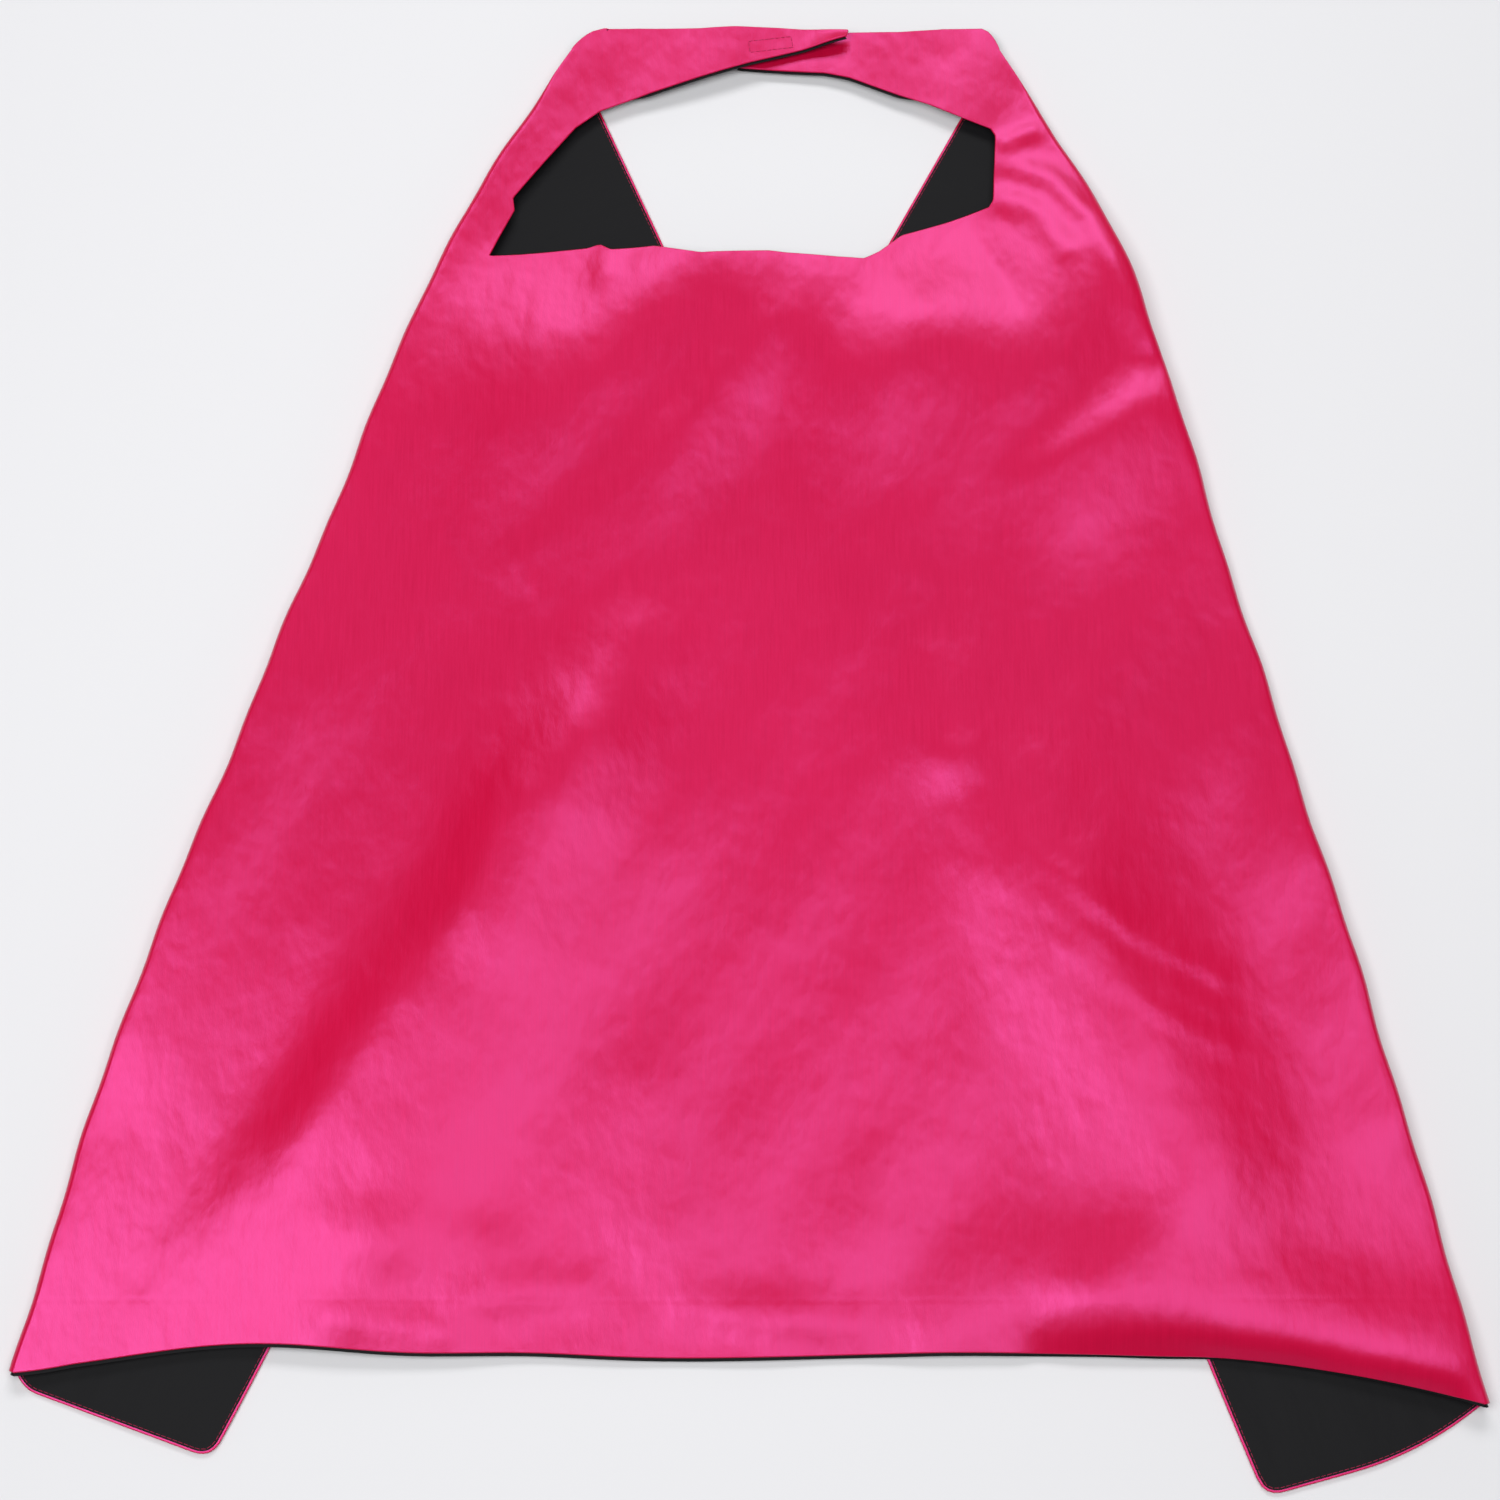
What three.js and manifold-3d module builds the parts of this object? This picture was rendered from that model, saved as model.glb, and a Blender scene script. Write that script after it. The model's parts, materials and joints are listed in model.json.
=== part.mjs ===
// A reversible child's dress-up cape of satin, laid flat with its two sides folded under and its neck closed.
//
// The cape is bagged out: a bright shell and a dark lining are sewn face to face round the edge and turned.
// Its neck is a hole near the top edge, closed by two straps that overlap and hold with hook-and-loop tape.
// Lying flat, the shell faces up. The sides are folded under along two slanting lines, so the flaps lie on the
// table with their lining up, and the back panel lies over them.
//
// Millimetres, +X to the right, +Y towards the neck, +Z up. The table is at z = 0. The shapes are drawn from
// the middle of the hem, and the finished group is moved so that its box is centred over the origin.
import * as THREE from "three";
import { mergeVertices } from "three/addons/utils/BufferGeometryUtils.js";
import Module from "manifold-3d";

// ---------------------------------------------------------------- sizes
const capeLength = 700; // from the hem to the top edge of the straps
const cloth = 0.6; // one layer of satin
const layerGap = 0.9; // air between the shell and the lining
const clearance = 0.3; // between pieces that lie on each other
const foldGap = 2; // between the end of a panel and the line that its flap folds about

// Each side folds under about a straight line from hemX at the hem to topX at the top edge.
const sides = {
  left: { sign: -1, hemX: 370, topX: 120, hemTuck: 15, topTuck: 25, hemDip: 7, flapHemDrop: 6, topCorner: 10 },
  right: { sign: 1, hemX: 354, topX: 166, hemTuck: 4, topTuck: 33, hemDip: 22, flapHemDrop: 34, topCorner: 8 },
};
const hemTuckRise = 200; // height over which a fold strays inside its line by hemTuck, towards the hem
const topTuckDrop = 165; // and by topTuck, towards the top edge
const tuckPower = 1.5; // how gradually it strays
const hemDipRun = 136; // length over which the hem dips towards a fold
const flapHemWidth = 122; // a flap at its hem, from the fold line to its own edge
const flapWidth = 155; // and at its widest
const flapFlareRise = 250; // height over which it widens
const flapCorner = 9; // radius of a flap's corner at the hem
const shoulderDrop = 12; // from the top edge down to the end of a flap
const shoulderDeg = 43.5; // between the fold line and a flap's shoulder

const neckDrop = 132; // from the top edge down to the bottom of the neck hole
const neckLeft = 138; // reach of the neck hole's bottom to the left of the middle
const neckFloorRight = 60; // and to the right
const neckRight = 130; // reach of the neck hole to the right
const neckNotch = 32; // height of the neck hole's left notch and right corner over its bottom
const neckNotchIn = 12; // how far the left notch stands in from the corner below it
const neckStep = 20; // from the bottom's right end out to where it is half way up to the right corner
const neckCornerLeft = 93; // upper left corner of the neck hole
const neckCornerDrop = 57; // from the top edge down to both upper corners

const strapRootLeft = 70; // from the middle out to the lower end of each strap's root
const strapRootRight = 95;
const strapRoot = 43; // width of a strap at its root
const strapRootDeg = 9; // lean of a root's line
const strapWidth = 20; // width of both straps at the middle
const leftTip = 52; // how far the left strap's tip passes the middle
const leftTipWidth = 6;
const rightBend = 53; // where the right strap reaches its end's width
const rightBendWidth = 25;
const rightTip = 6; // how far the right strap's tip passes the middle, under the left one
const tipCorner = 3; // radius of the corners of a tip
const rootGap = 1; // between a strap and the panel that it is sewn into

const tapeLength = 25;
const tapeWidth = 8.5;
const tapeThick = 0.8;
const tapeCentre = { x: 11, drop: 9.8 }; // from the middle, and down from the top edge
const tapeDeg = 8; // rise of the tape towards the tip
const stitchInset = 1.2; // from the tape's edge to its stitching
const threadWidth = 0.5;
const threadHeight = 0.3;
const seamInset = 1.6; // from a panel's edge to its seam

const foldRise = 6.5; // underside of the back panel over the table at the folds
const flapRise = 2.8; // and over the flaps' own edges
const restRun = 60; // from there inwards to where the panel lies on the table
const gridStep = 30; // mesh of the curved layers

const panelThick = 2 * cloth + layerGap;
const seamLevel = cloth + (layerGap - threadHeight) / 2;

// ---------------------------------------------------------------- helpers
const wasm = await Module();
wasm.setup();
const radians = THREE.MathUtils.degToRad;
const point = (x, y) => new THREE.Vector2(x, y);

function toSolid(geometry) {
  const position = geometry.getAttribute("position").clone();
  const bare = new THREE.BufferGeometry();
  bare.setAttribute("position", position);
  bare.setIndex(geometry.getIndex());
  const merged = mergeVertices(bare, 1e-4);
  return new wasm.Manifold(new wasm.Mesh({
    numProp: 3,
    vertProperties: new Float32Array(merged.getAttribute("position").array),
    triVerts: new Uint32Array(merged.getIndex().array),
  }));
}

function toGeometry(solid) {
  const mesh = solid.getMesh();
  const geometry = new THREE.BufferGeometry();
  geometry.setAttribute("position", new THREE.BufferAttribute(new Float32Array(mesh.vertProperties), 3));
  geometry.setIndex(new THREE.BufferAttribute(new Uint32Array(mesh.triVerts), 1));
  geometry.computeVertexNormals();
  return geometry;
}

// A flat plate of the outline's shape, from bottom upwards.
function plate(outline, bottom, thick) {
  const geometry = new THREE.ExtrudeGeometry(new THREE.Shape(outline), { depth: thick, bevelEnabled: false });
  return geometry.translate(0, 0, bottom);
}

// A closed slab over the outline's box, its underside at under(x, y) and everywhere equally thick. Its mesh
// lines are the same for every piece, so layers over each other bend alike and keep their gap.
function curvedSlab(outline, under, thick) {
  const box = new THREE.Box2().setFromPoints(outline).expandByScalar(clearance);
  box.min.divideScalar(gridStep).floor().multiplyScalar(gridStep);
  box.max.divideScalar(gridStep).ceil().multiplyScalar(gridStep);
  const size = box.getSize(point(0, 0));
  const columns = Math.round(size.x / gridStep);
  const rows = Math.round(size.y / gridStep);
  const top = new THREE.PlaneGeometry(size.x, size.y, columns, rows);
  top.translate((box.min.x + box.max.x) / 2, (box.min.y + box.max.y) / 2, 0);
  const flat = top.getAttribute("position");
  const count = flat.count;
  const vertices = new Float32Array(count * 6);
  for (let i = 0; i < count; i += 1) {
    const x = flat.getX(i);
    const y = flat.getY(i);
    const level = under(x, y);
    vertices.set([x, y, level + thick], i * 3);
    vertices.set([x, y, level], (count + i) * 3);
  }
  const faces = Array.from(top.getIndex().array);
  const closed = [...faces];
  for (let i = 0; i < faces.length; i += 3) {
    closed.push(count + faces[i], count + faces[i + 2], count + faces[i + 1]);
  }
  const wall = (a, b) => closed.push(a, count + a, b, b, count + a, count + b);
  const at = (column, row) => row * (columns + 1) + column;
  for (let column = 0; column < columns; column += 1) {
    wall(at(column + 1, 0), at(column, 0));
    wall(at(column, rows), at(column + 1, rows));
  }
  for (let row = 0; row < rows; row += 1) {
    wall(at(0, row), at(0, row + 1));
    wall(at(columns, row + 1), at(columns, row));
  }
  const slab = new THREE.BufferGeometry();
  slab.setAttribute("position", new THREE.BufferAttribute(vertices, 3));
  slab.setIndex(closed);
  return slab;
}

// The part of a curved slab that lies inside the outline.
function curvedLayer(outline, under, thick) {
  const cutter = toSolid(plate(outline, -gridStep, 2 * gridStep));
  return toGeometry(toSolid(curvedSlab(outline, under, thick)).intersect(cutter));
}

const bend = (from, control, to, steps = 8) => new THREE.QuadraticBezierCurve(from, control, to).getPoints(steps);

// The corner at b on the way from a to c, rounded to start and end a radius away from it.
function roundCorner(a, b, c, radius) {
  const from = a.clone().sub(b).setLength(radius).add(b);
  const to = c.clone().sub(b).setLength(radius).add(b);
  return bend(from, b, to, 4);
}

// A ribbon beside an open line of points, on the line's left, as wide as a thread.
function ribbon(line, inset) {
  const shifted = (distance) => line.map((here, i) => {
    const after = line[Math.min(i + 1, line.length - 1)].clone().sub(here).normalize();
    const before = here.clone().sub(line[Math.max(i - 1, 0)]).normalize();
    const along = before.clone().add(after).normalize();
    const mitre = Math.max(along.dot(before), along.dot(after));
    return point(-along.y, along.x).multiplyScalar(distance / mitre).add(here);
  });
  return [...shifted(inset), ...shifted(inset + threadWidth).reverse()];
}

// Drops both ends of a line, to keep a seam's ends inside its panel.
const trimmed = (line, length) => {
  const curve = new THREE.CurvePath();
  line.slice(1).forEach((next, i) => curve.add(new THREE.LineCurve(line[i], next)));
  const total = curve.getLength();
  const inner = [curve.getPointAt(length / total)];
  let run = 0;
  for (let i = 1; i < line.length - 1; i += 1) {
    run += line[i].distanceTo(line[i - 1]);
    if (run > length + threadWidth && run < total - length - threadWidth) inner.push(line[i]);
  }
  inner.push(curve.getPointAt(1 - length / total));
  return inner;
};

// ---------------------------------------------------------------- fold lines
function foldLine({ sign, hemX, topX }) {
  const origin = point(sign * hemX, 0);
  const along = point(sign * (topX - hemX), capeLength).normalize();
  const inward = point(-sign * along.y, sign * along.x);
  return {
    origin,
    along,
    at: (inset, run) => origin.clone().addScaledVector(inward, inset).addScaledVector(along, run),
    insetOf: (x, y) => point(x, y).sub(origin).dot(inward),
    inward,
  };
}

// How far inside its line a fold runs, a given run up from the hem.
function tuckAt(side, run) {
  const top = capeLength / foldLine(side).along.y;
  const low = Math.max(0, 1 - run / hemTuckRise);
  const high = Math.max(0, 1 - (top - run) / topTuckDrop);
  return foldGap + side.hemTuck * low ** tuckPower + side.topTuck * high ** tuckPower;
}

// The folded edge of a side, from the hem up to a drop below the top edge.
function foldedEdge(side, drop, steps = 28) {
  const line = foldLine(side);
  const runAt = (y, inset) => (y - line.inward.y * inset) / line.along.y;
  const start = runAt(-side.hemDip, foldGap + side.hemTuck);
  const top = capeLength / line.along.y;
  const end = runAt(capeLength - drop, tuckAt(side, top - drop));
  const edge = [];
  for (let i = 0; i <= steps; i += 1) {
    const run = start + (end - start) * (i / steps);
    edge.push(line.at(tuckAt(side, run), run));
  }
  return edge;
}

// ---------------------------------------------------------------- outlines
const rootLean = Math.tan(radians(strapRootDeg)) * strapRoot;
const strapRoots = {
  left: [point(-strapRootLeft, capeLength - strapRoot), point(-strapRootLeft - rootLean, capeLength)],
  right: [point(strapRootRight, capeLength - strapRoot), point(strapRootRight + rootLean, capeLength)],
};

function hemCurve(side) {
  const end = foldedEdge(side, shoulderDrop)[0];
  const start = point(end.x - side.sign * hemDipRun, 0);
  return bend(start, point(end.x - (side.sign * hemDipRun) / 2, 0), end);
}

// The neck hole from the right strap's root, round its bottom, to the left strap's root.
function neckCurve() {
  const top = capeLength;
  const floor = top - neckDrop;
  const corners = [
    point(neckRight, top - neckCornerDrop),
    point(neckRight, floor + neckNotch),
    point(neckFloorRight + neckStep, floor + neckNotch / 2),
    point(neckFloorRight, floor),
    point(-neckLeft, floor),
    point(-neckLeft + neckNotchIn, floor + neckNotch),
    point(-neckCornerLeft, top - neckCornerDrop),
  ];
  return [strapRoots.right[0], ...corners, strapRoots.left[0]];
}

function topCornerCurve(side) {
  const edge = foldedEdge(side, shoulderDrop);
  const end = edge[edge.length - 1];
  const before = edge[edge.length - 2];
  const reach = shoulderDrop / (end.y - before.y);
  const corner = end.clone().lerp(before, -reach);
  return bend(end, corner, point(corner.x - side.sign * side.topCorner, capeLength), 4);
}

const backHem = [...hemCurve(sides.left).reverse(), ...hemCurve(sides.right)];
const backNeck = neckCurve();
const backOutline = [
  ...backHem,
  ...foldedEdge(sides.right, shoulderDrop).slice(1, -1),
  ...topCornerCurve(sides.right),
  strapRoots.right[1],
  ...backNeck,
  strapRoots.left[1],
  ...topCornerCurve(sides.left).reverse(),
  ...foldedEdge(sides.left, shoulderDrop).slice(1, -1).reverse(),
];

// A flap's sewn edge, from the fold at the hem, round its corner and up to the end of its shoulder.
function flapSewnEdge(side) {
  const line = foldLine(side);
  const fold = foldedEdge(side, shoulderDrop);
  const hemEnd = fold[0];
  const top = fold[fold.length - 1];
  const hemInset = line.insetOf(hemEnd.x, hemEnd.y);
  const topInset = line.insetOf(top.x, top.y);
  const topRun = top.clone().sub(line.origin).dot(line.along);
  const shoulderRun = topRun - (flapWidth - topInset) / Math.tan(radians(shoulderDeg));
  const hemBend = bend(
    hemEnd,
    line.at(hemInset + side.flapHemDrop, -side.flapHemDrop),
    line.at(hemInset + 2 * side.flapHemDrop, -side.flapHemDrop),
  );
  const corner = line.at(flapHemWidth, -side.flapHemDrop);
  const flare = bend(corner, line.at(flapWidth, flapFlareRise), line.at(flapWidth, shoulderRun), 10);
  const round = roundCorner(hemBend.at(-1), corner, flare[1], flapCorner);
  return [...hemBend, ...round, ...flare.slice(1), top];
}

function flapOutline(side) {
  const fold = foldedEdge(side, shoulderDrop).slice(1, -1).reverse();
  const outline = [...flapSewnEdge(side), ...fold];
  return side.sign < 0 ? outline : outline.reverse();
}

// A strap's corners, from the lower end of its root round its tip to the upper end.
function strapCorners([lower, upper], low, tip) {
  const gap = point(Math.sign(tip[0].x - lower.x) * rootGap, 0);
  return [lower.clone().add(gap), low, ...tip, upper.clone().add(gap)];
}

function strapOutline([start, low, tipLow, tipHigh, end]) {
  return [
    start,
    low,
    ...roundCorner(low, tipLow, tipHigh, tipCorner),
    ...roundCorner(tipLow, tipHigh, end, tipCorner),
    end,
  ];
}

const upperStrap = strapCorners(
  strapRoots.left,
  point(0, capeLength - strapWidth),
  [point(leftTip, capeLength - leftTipWidth), point(leftTip - 1, capeLength)],
);
const lowerStrap = strapCorners(
  strapRoots.right,
  point(rightBend, capeLength - rightBendWidth),
  [point(-rightTip, capeLength - strapWidth), point(-rightTip, capeLength)],
);

// ---------------------------------------------------------------- levels
const smooth = (t) => THREE.MathUtils.smoothstep(t, 0, 1);

function riseOver(side, x, y) {
  const inset = foldLine(side).insetOf(x, y);
  const over = Math.max(0, 1 - Math.max(0, inset) / flapWidth);
  return (foldRise - flapRise) * over ** 2 + flapRise * (1 - smooth((inset - flapWidth) / restRun));
}

const backUnder = (x, y) => Math.max(riseOver(sides.left, x, y), riseOver(sides.right, x, y));

// The lower strap lies level from its root. The upper one climbs over it and the two tapes.
const lowerUnder = backUnder(...strapRoots.right[0].toArray());
const upperRootUnder = backUnder(...strapRoots.left[0].toArray());
const loopUnder = lowerUnder + panelThick + clearance;
const hookUnder = loopUnder + tapeThick + clearance;
const upperTipUnder = hookUnder + tapeThick + clearance;
const tapeReach = (tapeLength / 2) * Math.cos(radians(tapeDeg));
const climbEnd = Math.min(-rightTip, tapeCentre.x - tapeReach) - clearance;
const upperUnder = (x) => {
  const climb = smooth((x + strapRootLeft) / (climbEnd + strapRootLeft));
  return upperRootUnder + (upperTipUnder - upperRootUnder) * climb;
};

// ---------------------------------------------------------------- pieces
const shellColour = 0xd62566;
const liningColour = 0x17171a;
const materials = {
  shell: () => new THREE.MeshStandardMaterial({ color: shellColour, roughness: 0.35, metalness: 0 }),
  lining: () => new THREE.MeshStandardMaterial({ color: liningColour, roughness: 0.45, metalness: 0 }),
  tape: () => new THREE.MeshStandardMaterial({ color: 0x101012, roughness: 0.95, metalness: 0 }),
  thread: () => new THREE.MeshStandardMaterial({ color: 0xc8205c, roughness: 0.6, metalness: 0 }),
};

const cape = new THREE.Group();

function add(name, geometry, material) {
  const mesh = new THREE.Mesh(geometry, material);
  mesh.name = name;
  cape.add(mesh);
}

// A flap lies shell down, its lining on top.
function addFlap(name, side) {
  const outline = flapOutline(side);
  const sewn = side.sign < 0 ? flapSewnEdge(side) : flapSewnEdge(side).reverse();
  add(`${name}_shell`, plate(outline, 0, cloth), materials.shell());
  add(`${name}_lining`, plate(outline, cloth + layerGap, cloth), materials.lining());
  add(`${name}_seam`, plate(ribbon(trimmed(sewn, flapCorner), seamInset), seamLevel, threadHeight),
    materials.thread());
}

function addBack() {
  add("back_panel_lining", curvedLayer(backOutline, backUnder, cloth), materials.lining());
  const shellUnder = (x, y) => backUnder(x, y) + cloth + layerGap;
  add("back_panel_shell", curvedLayer(backOutline, shellUnder, cloth), materials.shell());
  const seamUnder = (x, y) => backUnder(x, y) + seamLevel;
  const hem = ribbon(trimmed(backHem, flapCorner), seamInset);
  const neck = ribbon(trimmed(backNeck, flapCorner), seamInset);
  add("hem_seam", curvedLayer(hem, seamUnder, threadHeight), materials.thread());
  add("neckline_seam", curvedLayer(neck, seamUnder, threadHeight), materials.thread());
}

function addStrap(name, corners, under) {
  const lift = (height) => (x, y) => under(x, y) + height;
  const outline = strapOutline(corners);
  const sewn = corners[0].x < corners[1].x ? corners : [...corners].reverse();
  add(`${name}_lining`, curvedLayer(outline, lift(0), cloth), materials.lining());
  add(`${name}_shell`, curvedLayer(outline, lift(cloth + layerGap), cloth), materials.shell());
  const seam = ribbon(trimmed(sewn, tipCorner), seamInset);
  add(`${name}_seam`, curvedLayer(seam, lift(seamLevel), threadHeight), materials.thread());
}

const tapeCorners = (inset) => {
  const half = point(tapeLength / 2 - inset, tapeWidth / 2 - inset);
  const centre = point(tapeCentre.x, capeLength - tapeCentre.drop);
  return [[-1, -1], [1, -1], [1, 1], [-1, 1]].map(([i, j]) => point(i * half.x, j * half.y)
    .rotateAround(point(0, 0), radians(tapeDeg)).add(centre));
};

function addTape(name, under, stitchUnder) {
  add(`${name}_patch`, plate(tapeCorners(0), under, tapeThick), materials.tape());
  const ring = new THREE.Shape(tapeCorners(stitchInset));
  ring.holes.push(new THREE.Path(tapeCorners(stitchInset + threadWidth)));
  const stitching = new THREE.ExtrudeGeometry(ring, { depth: threadHeight, bevelEnabled: false });
  add(`${name}_patch_stitching`, stitching.translate(0, 0, stitchUnder), materials.thread());
}

addFlap("left_flap", sides.left);
addFlap("right_flap", sides.right);
addBack();
addStrap("lower_tab", lowerStrap, () => lowerUnder);
addStrap("upper_tab", upperStrap, upperUnder);
addTape("loop", loopUnder, lowerUnder - clearance - threadHeight);
addTape("hook", hookUnder, upperTipUnder + panelThick + clearance);

// ---------------------------------------------------------------- frame
const box = new THREE.Box3().setFromObject(cape);
const middle = box.getCenter(new THREE.Vector3());
cape.position.set(-middle.x, -middle.y, -box.min.z);

export default cape;
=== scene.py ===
import json
import math
import bpy
import numpy as np
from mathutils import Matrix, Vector


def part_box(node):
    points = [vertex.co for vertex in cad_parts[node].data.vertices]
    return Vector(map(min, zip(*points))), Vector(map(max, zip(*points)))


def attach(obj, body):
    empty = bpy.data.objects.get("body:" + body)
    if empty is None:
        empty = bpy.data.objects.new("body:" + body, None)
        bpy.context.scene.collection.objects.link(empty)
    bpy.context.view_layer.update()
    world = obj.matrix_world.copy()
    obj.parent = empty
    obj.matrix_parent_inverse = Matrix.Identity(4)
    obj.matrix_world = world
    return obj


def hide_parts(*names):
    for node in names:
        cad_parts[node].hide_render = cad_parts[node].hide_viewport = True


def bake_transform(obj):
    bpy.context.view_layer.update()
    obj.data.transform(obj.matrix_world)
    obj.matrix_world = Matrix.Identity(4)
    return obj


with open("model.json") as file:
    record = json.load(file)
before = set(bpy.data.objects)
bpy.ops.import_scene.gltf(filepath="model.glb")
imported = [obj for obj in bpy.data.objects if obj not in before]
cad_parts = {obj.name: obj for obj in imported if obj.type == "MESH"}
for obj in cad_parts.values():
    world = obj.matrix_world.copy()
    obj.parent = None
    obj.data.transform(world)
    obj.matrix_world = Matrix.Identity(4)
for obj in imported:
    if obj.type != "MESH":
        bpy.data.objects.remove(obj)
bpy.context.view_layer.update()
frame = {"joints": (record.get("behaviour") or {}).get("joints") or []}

# ---------------- how the cape lies
# The cape lies shell up with both sides folded under and its neck straps lapped. Its plan is drawn in metres
# from the middle of the hem, and every height is read off one height field for the whole cloth.
cape_length = 0.700
lower_tip_past_middle = 0.006
hem_stray_run, top_stray_run = 0.200, 0.165  # how far from each end a fold strays off its straight line
least_stray = 0.002
origin_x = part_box("lower_tab_shell")[0].x + lower_tip_past_middle
origin_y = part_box("upper_tab_shell")[1].y - cape_length
joints = {joint["name"]: joint for joint in frame["joints"]}


class Fold:
    """The straight line that a side is folded about, and how far the real fold strays inside it."""

    def __init__(self, joint, sign, hem_stray, top_stray, hem_dip):
        axis = np.array(joint["axis"][:2])
        self.along = axis if axis[1] > 0 else -axis
        self.start = np.array(joint["pos_m"][:2]) - [origin_x, origin_y]
        self.level = joint["pos_m"][2]
        self.inward = np.array([-sign * self.along[1], sign * self.along[0]])
        self.sign, self.hem_stray, self.top_stray, self.hem_dip = sign, hem_stray, top_stray, hem_dip

    def inset(self, x, y):
        """How far plan points lie inside the straight line."""
        return (x - self.start[0]) * self.inward[0] + (y - self.start[1]) * self.inward[1]

    def stray(self, run):
        """How far the real fold lies inside the straight line, by the run along it."""
        top = cape_length / self.along[1]
        low = np.clip(1 - run / hem_stray_run, 0, None) ** 1.5
        high = np.clip(1 - (top - run) / top_stray_run, 0, None) ** 1.5
        waver = 0.0006 * np.sin(run * 47 + self.sign) + 0.0004 * np.sin(run * 113 + 2 * self.sign)
        return least_stray + self.hem_stray * low + self.top_stray * high + waver

    def point(self, inset, run):
        return self.start + np.multiply.outer(inset, self.inward) + np.multiply.outer(run, self.along)

    def run_at(self, y, inset):
        return (y - self.start[1] - self.inward[1] * inset) / self.along[1]


left = Fold(joints["left_flap_unfold"], -1, 0.015, 0.025, 0.007)
right = Fold(joints["right_flap_unfold"], 1, 0.004, 0.033, 0.022)
flap_width = 0.155
fold_rise = 0.0065  # of the cloth at a fold
flap_rise = 0.0028  # of the cloth over a flap
rest_run = 0.060  # over which it comes down past a flap's own side
sheet_lift = 0.0033  # shell over the underside of the panel
air_under = 0.0008
deepest_hollow = 0.0016

# Each fold of the cloth is a way through plan points, with how far it falls away on the left of the way and
# on the right, and its height.
ripples = [
    # The broad folds down the left and the right of the back, and along both sides.
    ([(-0.046, 0.380), (-0.080, 0.310), (-0.116, 0.256), (-0.142, 0.205), (-0.174, 0.150), (-0.216, 0.092)],
     0.095, 0.030, 0.0058),
    ([(-0.060, 0.356), (-0.078, 0.318)], 0.040, 0.022, 0.0030),
    ([(-0.096, 0.296), (-0.120, 0.254), (-0.126, 0.222)], 0.050, 0.027, 0.0046),
    ([(-0.162, 0.194), (-0.184, 0.152), (-0.200, 0.115)], 0.050, 0.028, 0.0034),
    ([(0.112, 0.300), (0.140, 0.258), (0.168, 0.200), (0.198, 0.142), (0.222, 0.086)], 0.048, 0.040, 0.0088),
    ([(0.104, 0.296)], 0.015, 0.015, 0.0020),
    ([(0.252, 0.300), (0.288, 0.225), (0.318, 0.120)], 0.030, 0.028, 0.0040),
    ([(-0.216, 0.408), (-0.262, 0.300), (-0.302, 0.160)], 0.040, 0.036, 0.0046),
    # The slack under the neck hole, and the pulls at the right shoulder.
    ([(-0.152, 0.524), (-0.120, 0.502), (-0.075, 0.520), (-0.022, 0.558)], 0.046, 0.070, 0.0105),
    ([(0.046, 0.556), (0.072, 0.520), (0.150, 0.522), (0.168, 0.548)], 0.044, 0.070, 0.0100),
    ([(0.134, 0.622), (0.158, 0.612), (0.178, 0.588), (0.206, 0.520)], 0.008, 0.008, 0.0020),
    ([(0.134, 0.600), (0.150, 0.594), (0.166, 0.570)], 0.009, 0.008, 0.0013),
    ([(0.136, 0.634), (0.150, 0.640)], 0.006, 0.006, 0.0012),
    # Two slanting folds on the upper back.
    ([(0.020, 0.532), (-0.030, 0.472), (-0.112, 0.400)], 0.028, 0.014, 0.0020),
    ([(0.146, 0.440), (0.206, 0.478)], 0.016, 0.044, 0.0044),
    # The raised roll and the hollow at the right of the hem, and the puckers along the hem.
    ([(0.095, 0.018), (0.140, 0.031), (0.185, 0.031), (0.235, 0.021), (0.285, 0.010), (0.330, -0.002)],
     0.034, 0.026, 0.0074),
    ([(0.140, 0.000), (0.165, -0.002), (0.215, -0.003), (0.263, -0.009), (0.310, -0.018), (0.332, -0.023)],
     0.009, 0.009, -0.0064),
    ([(-0.200, 0.018), (-0.145, 0.012)], 0.010, 0.010, 0.0013),
    ([(-0.142, 0.028), (-0.086, 0.033)], 0.012, 0.010, 0.0014),
    ([(-0.030, 0.024), (0.050, 0.016)], 0.012, 0.010, 0.0016),
    ([(-0.210, 0.060), (-0.130, 0.052)], 0.016, 0.020, 0.0016),
    # Small creases: at the neck hole, beside the right broad fold, and down the middle.
    ([(-0.072, 0.578), (-0.077, 0.556)], 0.008, 0.007, 0.0010),
    ([(0.140, 0.246), (0.190, 0.206), (0.232, 0.184)], 0.006, 0.006, 0.0010),
    ([(0.146, 0.222), (0.190, 0.186), (0.228, 0.168)], 0.005, 0.006, 0.0008),
    ([(0.156, 0.200), (0.196, 0.170), (0.232, 0.150)], 0.006, 0.006, 0.0009),
    ([(0.048, 0.505), (0.038, 0.460), (0.046, 0.415), (0.066, 0.400)], 0.006, 0.006, 0.0003),
    ([(-0.060, 0.160), (-0.040, 0.110), (-0.046, 0.060)], 0.020, 0.024, 0.0012),
    ([(0.060, 0.170), (0.074, 0.110), (0.060, 0.060)], 0.020, 0.024, 0.0012),
]


far_off = 9.0  # farther than any point of the cape
way_spots = 24
blend_area = 0.0008  # m2: how softly one stretch of a way hands over to the next
start_height, rising_part = 0.3, 0.35  # a fold's height at its start, and the part of its way it rises over


def smooth(t):
    """From 0 to 1, level at both ends."""
    t = np.clip(t, 0, 1)
    return t * t * (3 - 2 * t)


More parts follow.
